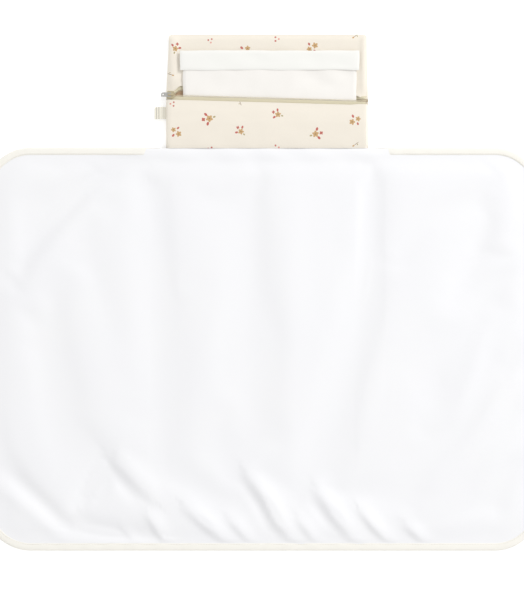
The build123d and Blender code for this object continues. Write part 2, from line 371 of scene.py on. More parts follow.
def motif_group():
    """A node group that draws one rounded shape: 1 inside it and 0 outside.

    Waist deepens the gaps between its Petals, and Slim narrows it across Turn. It repeats
    with the tile.
    """
    group = bpy.data.node_groups.new("motif", "ShaderNodeTree")
    maths = partial(node_maths, group)
    face = group.interface
    face.new_socket("Where", in_out="INPUT", socket_type="NodeSocketVector")
    for name in MOTIF_SOCKETS:
        face.new_socket(name, in_out="INPUT", socket_type="NodeSocketFloat")
    face.new_socket("Mask", in_out="OUTPUT", socket_type="NodeSocketFloat")
    given = group.nodes.new("NodeGroupInput").outputs
    end = group.nodes.new("NodeGroupOutput")
    split = group.nodes.new("ShaderNodeSeparateXYZ")
    group.links.new(given["Where"], split.inputs[0])

    def offset(i, name):
        """How far the point is from the nearest repeat of the shape's middle."""
        half = TILE[i] / 2
        from_half = maths("ADD", maths("SUBTRACT", split.outputs[i], given[name]), half)
        return maths("SUBTRACT", maths("FLOORED_MODULO", from_half, TILE[i]), half)

    dx, dy = offset(0, "X"), offset(1, "Y")
    cos, sin = maths("COSINE", given["Turn"]), maths("SINE", given["Turn"])
    x = maths("ADD", maths("MULTIPLY", dx, cos), maths("MULTIPLY", dy, sin))
    y = maths("SUBTRACT", maths("MULTIPLY", dy, cos), maths("MULTIPLY", dx, sin))
    y = maths("MULTIPLY", y, given["Slim"])
    far = maths("SQRT", maths("ADD", maths("MULTIPLY", x, x), maths("MULTIPLY", y, y)))
    wave = maths("COSINE", maths("MULTIPLY", maths("ARCTAN2", y, x), given["Petals"]))
    lobe = maths("MULTIPLY_ADD", wave, given["Waist"], 1.0)
    edge = maths("MULTIPLY", given["Radius"], lobe)
    inside = maths("MULTIPLY", maths("SUBTRACT", edge, far), 2.2)
    clear = maths("MINIMUM", maths("MAXIMUM", inside, 0.0), 1.0)
    group.links.new(clear, end.inputs["Mask"])
    return group


def flower(x, y, radius, ink, petals=5):
    """Round petals with a dark eye."""
    yield x, y, radius, petals, 0.4, 0.2, 1.0, ink
    yield x, y, 0.3 * radius, 0, 0.0, 0.0, 1.0, TAUPE


def leaf(x, y, radius, turn, ink):
    yield x, y, radius, 1, turn, 0.25, 1.6, ink


def posy(kind):
    """A stock posy's shapes, round its own middle."""
    if kind == "flower_and_leaves":
        yield from flower(0, 0, 3.4, OCHRE)
        yield from leaf(4.6, 2.4, 2.2, 0.5, CORAL)
        yield from leaf(-4.4, 2.8, 2.2, 2.6, CORAL)
        yield from leaf(0.4, -5.0, 1.7, 4.7, OLIVE)
        yield from flower(0.6, 6.4, 2.0, CORAL, 4)
    elif kind == "two_flowers":
        yield from flower(-3.4, 1.4, 3.0, OCHRE)
        yield from flower(3.4, -1.2, 2.6, OCHRE)
        yield from leaf(1.6, 4.4, 2.0, 1.2, CORAL)
        yield from leaf(-0.6, -4.2, 1.8, 4.2, CORAL)
    elif kind == "three_berries":
        for i, ink in enumerate((CORAL, PINK, CORAL)):
            a = 2 * math.pi * i / 3 + math.pi / 2
            yield 2.6 * math.cos(a), 2.6 * math.sin(a), 1.3, 0, 0.0, 0.0, 1.0, ink
    else:
        yield 0.0, 0.0, 3.4, 0, 0.0, 0.0, 9.0, TAUPE
        yield from leaf(3.6, 0.0, 1.5, 0.0, OCHRE)
        yield from leaf(-0.6, 1.3, 1.0, 1.0, OLIVE)


def motifs():
    """Each motif's socket values and its ink, over one tile."""
    draw = np.random.default_rng(12)
    kinds = ("flower_and_leaves", "sprig", "two_flowers", "three_berries")
    for column in range(PRINT_COLUMNS):
        for row in range(PRINT_ROWS):
            at_x = (column + 0.5) * PRINT_PITCH[0] + draw.uniform(-6, 6)
            at_y = (row + 0.5 + 0.5 * (column % 2)) * PRINT_PITCH[1] + draw.uniform(-5, 5)
            turn, size = draw.uniform(0, 2 * math.pi), draw.uniform(0.95, 1.2)
            cos, sin = size * math.cos(turn), size * math.sin(turn)
            kind = kinds[(column + 2 * (row % 2) + row // 2) % 4]
            for x, y, radius, petals, own_turn, waist, slim, ink in posy(kind):
                place = (at_x + x * cos - y * sin, at_y + x * sin + y * cos)
                yield (*place, size * radius, petals, own_turn + turn, waist, slim), ink


def floral_material():
    """Cream cotton with small scattered posies."""
    made = Shader("printed_cotton", CREAM, 0.85)
    where = made.cloth()
    # the print is drawn in millimetres, and noise makes its edges a little ragged
    print_at = made.node("ShaderNodeVectorMath", {0: where, "Scale": 1 / MM}, operation="SCALE")
    ragged = made.node("ShaderNodeTexNoise", {"Vector": where, "Scale": 900})
    inputs = {0: ragged.outputs["Color"], 1: (0.9, 0.9, 0), 2: print_at.outputs[0]}
    shift = made.node("ShaderNodeVectorMath", inputs, operation="MULTIPLY_ADD")
    colour = made.mix(made.noise(where, 30, 4), tuple(0.96 * c for c in CREAM), CREAM)
    dye = made.stretch(made.noise(where, 1100, 3), 0.3, 0.7, 0.78, 1.0)
    group = motif_group()
    for values, ink in motifs():
        inputs = {"Where": shift.outputs[0], **dict(zip(MOTIF_SOCKETS, values))}
        motif = made.node("ShaderNodeGroup", inputs, node_tree=group)
        colour = made.mix(made.maths("MULTIPLY", motif.outputs["Mask"], dye), colour, ink)
    bumps = ((350, 3, 0.15, 0.4), (1300, WEAVE, 0.06, 0.7))
    return made.finish(where, colour, (240, 3), (0.78, 0.9), bumps, sheen(0.2, 0.5, 0.25))


# ---------------------------------------------------------------- mesh helpers
def new_piece(name, points, faces, material, uv, sharp=None, normals=None):
    """A mesh object from points in millimetres. uv is one flat (x, y) a point, in millimetres,
    and sharp is the angle between faces that shades as an edge."""
    mesh = bpy.data.meshes.new(name)
    mesh.from_pydata((np.asarray(points) * MM).tolist(), [], faces)
    mesh.update()
    layer = mesh.uv_layers.new(name="cloth")
    corner = np.zeros(len(mesh.loops), np.int32)
    mesh.loops.foreach_get("vertex_index", corner)
    flat = (np.asarray(uv)[corner] * MM).astype(np.float32)
    layer.data.foreach_set("uv", flat.ravel())
    mesh.shade_smooth()
    if sharp is not None:
        mesh.set_sharp_from_angle(angle=math.radians(sharp))
    if normals is not None:
        mesh.normals_split_custom_set_from_vertices(normals.tolist())
    mesh.materials.append(material)
    piece = bpy.data.objects.new(name, mesh)
    scene.collection.objects.link(piece)
    return piece


def grid_normals(grid):
    """The unit normal at each point of a grid of rows and columns."""
    n = np.cross(np.gradient(grid, axis=1), np.gradient(grid, axis=0))
    return n / np.linalg.norm(n, axis=2, keepdims=True)


def grid_index(grid):
    """Each point's number, in the grid's rows and columns."""
    rows, columns = grid.shape[:2]
    return np.arange(rows * columns).reshape(rows, columns)


def cut_slab(name, top, bottom, material, uv=None, wanted=None, normals=None):
    """A closed thin piece between two matching grids.

    uv is the top's own x and y and wanted, the cells that are kept, all of them, unless given.
    """
    index = grid_index(top)
    uv = top[..., :2] if uv is None else uv
    wanted = np.ones(index[1:, 1:].shape, bool) if wanted is None else wanted
    a, b = index[:-1, :-1][wanted], index[:-1, 1:][wanted]
    c, d = index[1:, 1:][wanted], index[1:, :-1][wanted]
    upper = np.stack([a, b, c, d], 1)
    used, local = np.unique(upper, return_inverse=True)
    upper = local.reshape(-1, 4)
    count = len(used)
    lower = upper[:, ::-1] + count
    sides = np.concatenate([upper[:, [i, (i + 1) % 4]] for i in range(4)])
    key = {(int(i), int(j)) for i, j in sides}
    rim = [(i, j, j + count, i + count)[::-1] for i, j in sides if (int(j), int(i)) not in key]
    points = np.concatenate([top.reshape(-1, 3)[used], bottom.reshape(-1, 3)[used]])
    flat = np.concatenate([uv.reshape(-1, 2)[used]] * 2)
    faces = [tuple(map(int, f)) for f in (*upper, *lower, *rim)]
    if normals is not None:
        n = normals.reshape(-1, 3)[used]
        normals = np.concatenate([n, -n])
    return new_piece(name, points, faces, material, flat, 50, normals)


def finer(grid):
    """The grid with one more line between each two, on a smooth curve through them."""
    for axis in (0, 1):
        g = np.moveaxis(grid, axis, 0)
        first, last = 2 * g[:1] - g[1:2], 2 * g[-1:] - g[-2:-1]
        wide = np.concatenate([first, g, last])
        between = (9 * (wide[1:-2] + wide[2:-1]) - wide[:-3] - wide[3:]) / 16
        out = np.empty((2 * len(g) - 1, *g.shape[1:]))
        out[::2], out[1::2] = g, between
        grid = np.moveaxis(out, 0, axis)
    return grid


def tube_faces(rings, around):
    """The faces of a tube made of rings of points, capped at both ends."""
    faces = []
    for low in range(0, (rings - 1) * around, around):
        for j in range(around):
            k = (j + 1) % around
            faces.append((low + j, low + k, low + around + k, low + around + j))
    last = (rings - 1) * around
    return [*faces, tuple(range(around))[::-1], tuple(range(last, last + around))]


def sweep(name, path, sideways, profile, material):
    """A closed profile of (across, up) points carried along a path, capped at both ends."""
    across, up = profile.T
    points = (
        path[:, None, :]
        + sideways[:, None, :] * across[None, :, None]
        + np.array([0, 0, 1.0])[None, None, :] * up[None, :, None]
    ).reshape(-1, 3)
    gaps = np.linalg.norm(np.diff(path, axis=0), axis=1)
    run = np.concatenate([[0], np.cumsum(gaps)])
    girth = np.concatenate([[0], np.cumsum(np.hypot(np.diff(across), np.diff(up)))])
    uv = np.stack(np.meshgrid(run, girth, indexing="ij"), 2).reshape(-1, 2)
    return new_piece(name, points, tube_faces(len(path), len(profile)), material, uv, 60)


# ---------------------------------------------------------------- what each piece stands for
# Where cloth bends at each joint: the body beyond it, and the bend's two ends in metres
BENDS = {
    "left": (
        "left_panel",
        ((FOLD_LEFT + LEFT_BEND) * MM, 0, 0),
        ((FOLD_LEFT - LEFT_BEND) * MM, 0, 0),
    ),
    "right": (
        "right_panel",
        ((FOLD_RIGHT - RIGHT_BEND) * MM, 0, 0),
        ((FOLD_RIGHT + RIGHT_BEND) * MM, 0, 0),
    ),
    "pouch": ("pouch", (0, POUCH_BEND[0] * MM, 0), (0, POUCH_BEND[1] * MM, 0)),
}


def bend(piece, joint):
    body, start, end = BENDS[joint]
    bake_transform(piece)
    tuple(start)
    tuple(end)


def settle(piece, slot, *nodes):
    """The CAD nodes that the piece stands for, which it hides. The slot is not used."""
    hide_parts(*nodes)


def box_size(piece):
    """The size of the piece's box along X and Y, in metres."""
    low, high = np.array(piece.bound_box).min(0), np.array(piece.bound_box).max(0)
    return high[0] - low[0], high[1] - low[1]


# ---------------------------------------------------------------- the pad's sheet
def spaced(low, high, step):
    return np.linspace(low, high, max(2, round((high - low) / step) + 1))


def pad_columns(step):
    """Grid lines along X, closer together where the cloth bends at each fold."""
    bends = [(FOLD_LEFT - 20, FOLD_LEFT + 20), (FOLD_RIGHT - 20, FOLD_RIGHT + 20)]
    edges = [-HALF_LENGTH, bends[0][0], bends[0][1], 0, bends[1][0], bends[1][1], HALF_LENGTH]
    steps = [step, step / 2, step, step, step / 2, step]
    runs = [spaced(a, b, s)[:-1] for a, b, s in zip(edges, edges[1:], steps)]
    return np.concatenate([*runs, [HALF_LENGTH]])


def pad_rows(step):
    """Grid lines along Y, spaced evenly round the corner arcs."""
    straight = HALF_WIDTH - CORNER
    turns = np.linspace(0, math.pi / 2, round(CORNER * 1.57 / step) + 1)[1:]
    arc = straight + CORNER * np.sin(turns)
    return np.concatenate([-arc[::-1], spaced(-straight, straight, step), arc])


def pad_plan(step, inset):
    """Grid points over the pad's outline, drawn in by inset on every side."""
    x, y = np.meshgrid(pad_columns(step), pad_rows(step))
    over = np.clip(np.abs(y) - (HALF_WIDTH - CORNER), 0, CORNER)
    pull = CORNER - np.sqrt(np.maximum(CORNER**2 - over**2, 0))
    half = HALF_LENGTH - pull
    # only the outer parts of the side thirds draw in, so that the folds stay straight
    inner = FOLD_RIGHT + 30
    share = np.clip((np.abs(x) - inner) / (HALF_LENGTH - inner), 0, 1)
    x = np.sign(x) * (np.abs(x) - share * (HALF_LENGTH - half))
    shrink_x = (HALF_LENGTH - inset) / HALF_LENGTH
    shrink_y = (HALF_WIDTH - inset) / HALF_WIDTH
    return x * shrink_x, y * shrink_y


# Each crease is a soft ridge (up) or valley (down) on the face cloth: (height, width, points).
# Heights and widths are millimetres, and points are shares of the pad's half length and half
# width. Its left side, going along the points, is the gentler one.
CREASES = (
    # long soft valleys and one rise down the panels
    (-1.5, 22, ((-0.394, 0.935), (-0.377, 0.238), (-0.354, -0.238), (-0.320, -0.594))),
    (-1.3, 20, ((-0.017, 0.943), (-0.040, 0.238), (-0.046, -0.158), (-0.011, -0.515))),
    (
        -1.7, 19,
        ((0.394, 0.935), (0.383, 0.436), (0.349, 0.079), (0.280, -0.238), (0.229, -0.515),
         (0.217, -0.653)),
    ),
    (1.2, 18, ((0.109, 0.919), (0.097, 0.158), (0.091, -0.277), (0.114, -0.523), (0.149, -0.792))),
    # the puckers along the bottom edge
    (3.2, 6.0, ((-0.409, -0.816), (-0.349, -0.950))),
    (4.3, 7.0, ((-0.269, -0.784), (-0.189, -0.879), (-0.126, -0.954))),
    (3.0, 5.5, ((-0.114, -0.840), (-0.046, -0.950))),
    (4.6, 7.5, ((-0.051, -0.618), (0.011, -0.737), (0.057, -0.855), (0.114, -0.954))),
    (-1.6, 6.0, ((-0.074, -0.657), (-0.017, -0.776), (0.023, -0.895))),
    (2.8, 5.5, ((0.131, -0.840), (0.189, -0.950))),
    (4.2, 7.5, ((0.200, -0.697), (0.257, -0.816), (0.331, -0.950))),
    (-1.3, 5.5, ((0.177, -0.752), (0.240, -0.879))),
    (3.6, 6.0, ((0.354, -0.800), (0.400, -0.879), (0.451, -0.950))),
    (3.0, 5.5, ((0.514, -0.871), (0.577, -0.950))),
    (1.2, 4.5, ((-0.503, -0.879), (-0.457, -0.950))),
    # the peak and the valleys at the lower left
    (-3.4, 7.0, ((-0.646, -0.752), (-0.594, -0.626), (-0.543, -0.527))),
    (3.0, 8.5, ((-0.543, -0.527), (-0.469, -0.626), (-0.389, -0.737))),
    (-2.4, 9.0, ((-0.594, -0.721), (-0.531, -0.618), (-0.457, -0.729))),
    (-3.0, 12, ((-0.960, -0.562), (-0.829, -0.713), (-0.680, -0.903))),
    (1.6, 10, ((-0.943, -0.673), (-0.814, -0.812), (-0.714, -0.935))),
    (-3.0, 8.5, ((-0.680, -0.895), (-0.543, -0.911), (-0.377, -0.927))),
    # the upper left fold, and the soft hollows and rises on the right
    (-2.8, 17, ((-0.417, 0.966), (-0.586, 0.848), (-0.749, 0.634), (-0.891, 0.372))),
    (1.8, 13, ((-0.429, 0.879), (-0.611, 0.745), (-0.749, 0.515), (-0.857, 0.277))),
    (-1.4, 15, ((0.834, 0.681), (0.800, 0.554), (0.760, 0.444), (0.703, 0.349), (0.680, 0.198))),
    (1.1, 18, ((0.903, 0.824), (0.857, 0.634), (0.829, 0.475))),
    (1.4, 12, ((0.800, 0.119), (0.749, -0.119), (0.674, -0.388))),
    (1.2, 10, ((0.857, -0.178), (0.800, -0.337), (0.726, -0.467))),
    (1.3, 17, ((0.960, -0.380), (0.846, -0.515), (0.760, -0.729))),
    (-0.8, 24, ((-0.714, 0.396), (-0.749, 0.000), (-0.714, -0.317))),
)


def creased(x, y):
    """How far the creases lift the cloth at each point."""
    lift = np.zeros_like(x)
    for height, width, points in CREASES:
        gentle, tip = (1.0, 0.02) if width > 11 else (1.9, 0.12)
        points = np.array(points, float) * (HALF_LENGTH, HALF_WIDTH)
        gaps = np.linalg.norm(np.diff(points, axis=0), axis=1)
        total, before = gaps.sum(), 0.0
        nearest = np.full(x.shape, np.inf)
        fade, spread = np.zeros_like(x), np.ones_like(x)
        for start, end, gap in zip(points, points[1:], gaps):
            d = end - start
            left = d[0] * (y - start[1]) - d[1] * (x - start[0]) > 0
            t = np.clip(((x - start[0]) * d[0] + (y - start[1]) * d[1]) / gap**2, 0, 1)
            far = np.hypot(x - start[0] - t * d[0], y - start[1] - t * d[1])
            along = (before + t * gap) / total
            taper = np.sin(math.pi * (tip + (1 - 2 * tip) * along)) ** 0.8
            closer = far < nearest
            nearest = np.where(closer, far, nearest)
            fade = np.where(closer, taper, fade)
            spread = np.where(closer, np.where(left, gentle, 1.0), spread)
            before += gap
        lift += height * fade * np.exp(-((nearest / (width * spread)) ** 2))
    return lift


def slow_waves(x, y, seed, lengths, height):
    """Smooth irregular waves: a few sines whose directions and phases are drawn once."""
    draw = np.random.default_rng(seed)
    total = np.zeros_like(x)
    for length in lengths:
        for _ in range(3):
            turn, phase = draw.uniform(0, 2 * math.pi, 2)
            k = 2 * math.pi / (length * draw.uniform(0.8, 1.25))
            total += np.sin(k * (x * math.cos(turn) + y * math.sin(turn)) + phase)
    return height * total / (3 * len(lengths))


def relax(grid, pinned, stretch, frames):
    """The sheet's grid after a cloth simulation in which the cloth is a little too large."""
    index = grid_index(grid)
    faces = np.stack([index[:-1, :-1], index[:-1, 1:], index[1:, 1:], index[1:, :-1]], 2)
    mesh = bpy.data.meshes.new("sheet_cloth")
    mesh.from_pydata((grid.reshape(-1, 3) * MM).tolist(), [], faces.reshape(-1, 4).tolist())
    cloth = bpy.data.objects.new("sheet_cloth", mesh)
    scene.collection.objects.link(cloth)
    group = cloth.vertex_groups.new(name="pin")
    for i, weight in enumerate(pinned.ravel()):
        if weight > 0:
            group.add([i], float(weight), "REPLACE")
    modifier = cloth.modifiers.new("cloth", "CLOTH")
    settings = modifier.settings
    settings.vertex_group_mass = "pin"
    settings.quality = 6
    settings.mass = 0.15
    settings.tension_stiffness = 20
    settings.compression_stiffness = 20
    settings.shear_stiffness = 8
    settings.bending_stiffness = 1.2
    settings.air_damping = 4
    settings.shrink_min = -stretch
    settings.effector_weights.gravity = 0
    modifier.collision_settings.use_collision = False
    modifier.point_cache.frame_start, modifier.point_cache.frame_end = 1, frames
    for number in range(1, frames + 1):
        scene.frame_set(number)
    shown = cloth.evaluated_get(bpy.context.evaluated_depsgraph_get())
    moved = np.zeros(grid.size)
    shown.data.vertices.foreach_get("co", moved)
    bpy.data.objects.remove(cloth)
    scene.frame_set(1)
    return moved.reshape(grid.shape) / MM


def evened(values):
    """Each inner point's values averaged with its four neighbours'."""
    out = values.copy()
    around = values[:-2, 1:-1] + values[2:, 1:-1] + values[1:-1, :-2] + values[1:-1, 2:]
    out[1:-1, 1:-1] = values[1:-1, 1:-1] / 2 + around / 8
    return out


def sheet_edge(x, y):
    """How far inside the pad's outline each point is."""
    corner_x = np.abs(x) - (HALF_LENGTH - CORNER)
    corner_y = np.abs(y) - (HALF_WIDTH - CORNER)
    straight = np.minimum(HALF_LENGTH - np.abs(x), HALF_WIDTH - np.abs(y))
    round_it = CORNER - np.hypot(np.maximum(corner_x, 0), np.maximum(corner_y, 0))
    return np.where((corner_x > 0) & (corner_y > 0), round_it, straight)


def by_pouch(x, y):
    """1 where the face cloth puffs over the top edge, beside the pouch, and 0 elsewhere."""
    return (
        smooth(x, PUFF_LEFT - 22, PUFF_LEFT + 22)
        * (1 - smooth(x, PUFF_RIGHT - 22, PUFF_RIGHT + 22))
        * smooth(y, HALF_WIDTH - 40, HALF_WIDTH - 15)
    )


def hump(value, middle, width):
    """A bell of height 1."""
    return np.exp(-(((value - middle) / width) ** 2))


LOFT = 0.8  # what the wadding lifts the face
LOOSEST = 1.6  # the most that the simulation may move it
CLOTH, BACK_CLOTH = 0.6, 0.5  # the thickness of the face and of the back


def make_face_grid():
    """The face cloth's fine grid: laid out, simulated and drawn finer."""
    x, y = pad_plan(5.0, 2.0)
    edge = sheet_edge(x, y)
    free = smooth(edge, 8, 34)
    lift = creased(x, y) * smooth(edge, 7, 16)
    lift += slow_waves(x, y, 4, (150, 90), 0.8) * free
    lift += LOFT * free
    grid = np.stack([x, y, np.full_like(x, THICKNESS - 0.1) + lift], 2)
    soft = relax(grid, pinned=1 - smooth(edge, 6, 14), stretch=0.005, frames=16)
    change = LOOSEST * np.tanh((soft - grid) / LOOSEST)
    for _ in range(4):
        change = evened(change)
    grid = grid + 0.9 * change * smooth(edge, 6, 45)[..., None]
    grid[..., 2] = np.clip(grid[..., 2], THICKNESS - 2.2, THICKNESS + 5.5)
    grid = finer(grid)
    x, y = grid[..., 0], grid[..., 1]
    near_pouch = by_pouch(x, y)
    # by the pouch the cloth reaches the seam, puffs up a little and turns down into it
    top_share = smooth(y, HALF_WIDTH - 44, HALF_WIDTH - 2)
    grid[..., 1] += near_pouch * top_share * 0.8
    from_seam = np.maximum(SEAM_Y - grid[..., 1], 0)
    fat = 1.1 * hump(from_seam, 8, 8)
    ripple = 0.5 * np.sin(x / 9.0 + 0.6 * np.sin(x / 31.0)) * hump(from_seam, 9, 8)
    turned = 0.6 * (1 - smooth(from_seam, 0, 3.0))
    grid[..., 2] += near_pouch * (fat + ripple - turned)
    return grid


def cells(values):
    """Each cell's mean of a value on the grid's points."""
    return (values[:-1, :-1] + values[:-1, 1:] + values[1:, :-1] + values[1:, 1:]) / 4


def declared_area(grid, wanted):
    """The flat area of the wanted cells, in square metres."""
    flat = grid[..., :2]
    a = flat[1:, 1:] - flat[:-1, :-1]
    b = flat[1:, :-1] - flat[:-1, 1:]
    cell = np.abs(a[..., 0] * b[..., 1] - a[..., 1] * b[..., 0]) / 2
    return float(cell[wanted].sum()) * MM * MM


def make_back_grid(face):
    """The back cloth's underside. It lies on the floor, and under the pouch it reaches the
    pouch's back panel."""
    x, y = face[..., 0], face[..., 1]
    reach = smooth(y, HALF_WIDTH - 44, HALF_WIDTH - 2)
    reach *= smooth(x, pouch_low[0] + 2, pouch_low[0] + 10)
    reach *= smooth(-x, -pouch_high[0] + 2, -pouch_high[0] + 10)
    inside = smooth(sheet_edge(x, y), 0, 7)
    low = 0.25 + 0.25 * slow_waves(x, y, 9, (70, 40), 1.0)
    low = np.maximum(low, 0.02) * inside + 0.45 * (1 - inside)
    return np.stack([x, y + 1.8 * reach * by_pouch(x, y), low], 2)


def make_pad(floral):
    face = make_face_grid()
    x, y = cells(face[..., 0]), cells(face[..., 1])
    hinge = (x > FOLD_LEFT + LEFT_BEND) & (x < FOLD_RIGHT - RIGHT_BEND)
    hinge &= y > POUCH_BEND[0] - 10
    # each piece of cloth: the end of its name, its cells, its joint and its CAD panel
    cloths = (
        ("left", (x < 0) & ~hinge, "left", "left"),
        ("right", (x >= 0) & ~hinge, "right", "right"),
        ("pouch_edge", hinge, "pouch", "middle"),
    )
    flat = face[..., :2]

    coated = coated_material()
    normals = grid_normals(face)
    under_face = face - normals * CLOTH
    for place, wanted, joint, panel in cloths:
        piece = cut_slab(
            f"face_cloth_{place}", face, under_face, coated, flat, wanted, normals
        )
        width, length = box_size(piece)
        min(declared_area(face, wanted), width * length)
        bend(piece, joint)
        settle(piece, "coated_face", f"{panel}_face_cover")

    back = make_back_grid(face)
    back_top = back + np.array([0, 0, BACK_CLOTH])
    for place, wanted, joint, panel in cloths:
        piece = cut_slab(f"back_cloth_{place}", back_top, back, floral, flat, wanted)
        width, length = box_size(piece)
        min(declared_area(back, wanted), width * length)
        bend(piece, joint)
        settle(piece, "floral_cotton", f"{panel}_back_cover")

    # the wadding fills what is between them
    wadding = fibre_material("wadding_fibre", (0.88, 0.88, 0.86), (0.80, 0.80, 0.78), 60)
    every = slice(None, None, 2)
    gap = np.array([0, 0, 0.15])
    fill_top, fill_low = under_face[every, every] - gap, back_top[every, every] + gap
    x, y = cells(fill_top[..., 0]), cells(fill_top[..., 1])
    room = (sheet_edge(x, y) > 5) & (y < POUCH_BEND[0] - 8)
    for side, wanted, nodes in (
        ("left", room & (x < 0), ("left_wadding",)),
        ("right", room & (x >= 0), ("right_wadding", "middle_wadding")),
    ):
        piece = cut_slab(f"wadding_{side}", fill_top, fill_low, wadding, wanted=wanted)
        bend(piece, side)
        settle(piece, "wadding", *nodes)


# ---------------------------------------------------------------- the binding
def outline_point(distance, inset):
    """A point on the pad's outline drawn in by inset, at a distance round it on the outline
    itself: anticlockwise from the middle of the bottom edge. Also the way out of the pad."""
    length, width = HALF_LENGTH - CORNER, HALF_WIDTH - CORNER
    turn = math.pi / 2 * CORNER
    s = distance
    for centre, start_angle, straight in (
        ((length, -width), -90, length),
        ((length, width), 0, 2 * width),
        ((-length, width), 90, 2 * length),
        ((-length, -width), 180, 2 * width),
        (None, 270, length),
    ):
        angle = math.radians(start_angle)
        out = np.array([math.cos(angle), math.sin(angle)])
        along = np.array([-out[1], out[0]])
        if s <= straight or centre is None:
            if centre is None:
                base = np.array([-length, -width])
                return base + out * (CORNER - inset) + along * s, out
            base = np.array(centre) - along * (straight - s)
            return base + out * (CORNER - inset), out
        s -= straight
        if s <= turn:
            angle += s / CORNER
            out = np.array([math.cos(angle), math.sin(angle)])
            return np.array(centre) + out * (CORNER - inset), out
        s -= turn


def outline_length():
    return 4 * (HALF_LENGTH + HALF_WIDTH - 2 * CORNER) + 2 * math.pi * CORNER


# The bound edge in section: (distance in from the edge, height), outside and then back inside
BINDING_SECTION = (
    (9.6, 4.9), (9.4, 5.25), (7.2, 5.45), (4.6, 5.5), (2.2, 5.4), (0.7, 4.8), (0.1, 3.6),
    (0.0, 2.5), (0.1, 1.4), (0.7, 0.45), (2.2, 0.05), (5.5, 0.0), (9.5, 0.0), (9.6, 0.3),
    (5.5, 0.5), (2.4, 0.6), (1.2, 1.5), (0.9, 2.5), (1.2, 3.8), (2.6, 4.7), (4.6, 4.9),
    (7.2, 4.9),
)


def make_binding():
    ivory = plain_cloth("ivory_tape", (0.93, 0.91, 0.85), (0.90, 0.875, 0.81), 1500)
    thread = plain_cloth("thread", (0.88, 0.86, 0.79), (0.80, 0.77, 0.69), 3000)
    total = outline_length()
    top_middle = total / 2
    profile = np.array(BINDING_SECTION)
    high = smooth(profile[:, 1], 3.0, 5.5)
    # each side's ends round the outline, where its top end is, and its row of stitches
    right_end, left_start = top_middle - PUFF_RIGHT + 14, top_middle - PUFF_LEFT - 14
    for side, start, end, tuck, seam, nodes in (
        ("right", 0.0, right_end, right_end, (4, right_end - 34),
         ("right_edge_binding", "middle_edge_binding")),
        ("left", left_start, total, left_start, (left_start + 34, total - 4),
         ("left_edge_binding",)),
    ):
        steps = spaced(start, end, 2.6)
        places, outs = map(np.array, zip(*(outline_point(s, 0.0) for s in steps)))
        level_z = np.zeros((len(steps), 1))
        path, sideways = np.hstack([places, level_z]), np.hstack([-outs, level_z])
        piece = sweep(f"binding_{side}", path, sideways, profile, ivory)
        pucker = 0.28 * np.sin(steps / 5.1 + 1.4 * np.sin(steps / 37.0))
        pucker *= 0.5 + 0.5 * np.sin(steps / 83.0 + 1.0)
        # at its top end the binding dives under the cloth that puffs over it
        dive = 1 - smooth(np.abs(steps - tuck), 2, 24)
        mesh = piece.data
        co = np.zeros(len(mesh.vertices) * 3)
        mesh.vertices.foreach_get("co", co)
        co = co.reshape(len(steps), len(profile), 3)
        co[..., 2] += pucker[:, None] * high * MM
        co[..., 2] -= (dive[:, None] * high) * 2.2 * MM
        mesh.vertices.foreach_set("co", co.ravel())
        mesh.update()
        settle(piece, "ivory_binding", *nodes)
        stitches = make_stitches(f"binding_stitches_{side}", *seam, 8.2, 3.4, thread)
        bend(piece, side)
        bend(stitches, side)


def stitch(centre, along, side, length, girth):
    """One stitch: a short capsule sunk into the cloth at both ends."""
    rings, around = 5, 6
    points = []
    for i in range(rings):
        t = i / (rings - 1)
        radius = girth * (0.35 + 0.65 * math.sin(math.pi * t))
        rise = girth * 0.9 * math.sin(math.pi * t)
        middle = centre + along * length * (t - 0.5)
        for a in 2 * math.pi * np.arange(around) / around:
            up = np.array([0, 0, radius * 0.8 * math.sin(a) + rise])
            points.append(middle + side * radius * math.cos(a) + up)
    return points, tube_faces(rings, around)


def join_parts(parts):
    points, faces = [], []
    for part_points, part_faces in parts:
        faces += [tuple(i + len(points) for i in f) for f in part_faces]
        points += list(part_points)
    return np.array(points), faces


def make_stitches(name, start, end, inset, pitch, material):
    parts = []
    for s in np.arange(start, end, pitch):
        place, out = outline_point(s, inset)
        along = np.array([-out[1], out[0], 0.0])
        centre = np.array([*place, THICKNESS + 0.36])
        parts.append(stitch(centre, along, np.array([*out, 0.0]), pitch * 0.66, 0.22))
    points, faces = join_parts(parts)
    return new_piece(name, points, faces, material, points[:, :2])


# ---------------------------------------------------------------- the pouch
def level(y):
    """A line of constant Y, as a function of X."""
    return lambda x: y + 0 * x


def pouch_grid(low_y, high_y):
    """Grid points between two lines of Y given as functions of X."""
    step = 2.5
    x = spaced(pouch_low[0], pouch_high[0], step)
    rows = max(2, round(float(np.max(high_y(x) - low_y(x))) / step) + 1)
    t = np.linspace(0, 1, rows)[:, None]
    y = low_y(x)[None, :] * (1 - t) + high_y(x)[None, :] * t
    return np.broadcast_to(x, y.shape).copy(), y


def add_panel(name, top, bottom, material, nodes, slot="floral_cotton"):
    """One of the pouch's panels, of the same outline as its grids."""
    piece = cut_slab(name, top, bottom, material)
    bend(piece, "pouch")
    settle(piece, slot, *nodes)


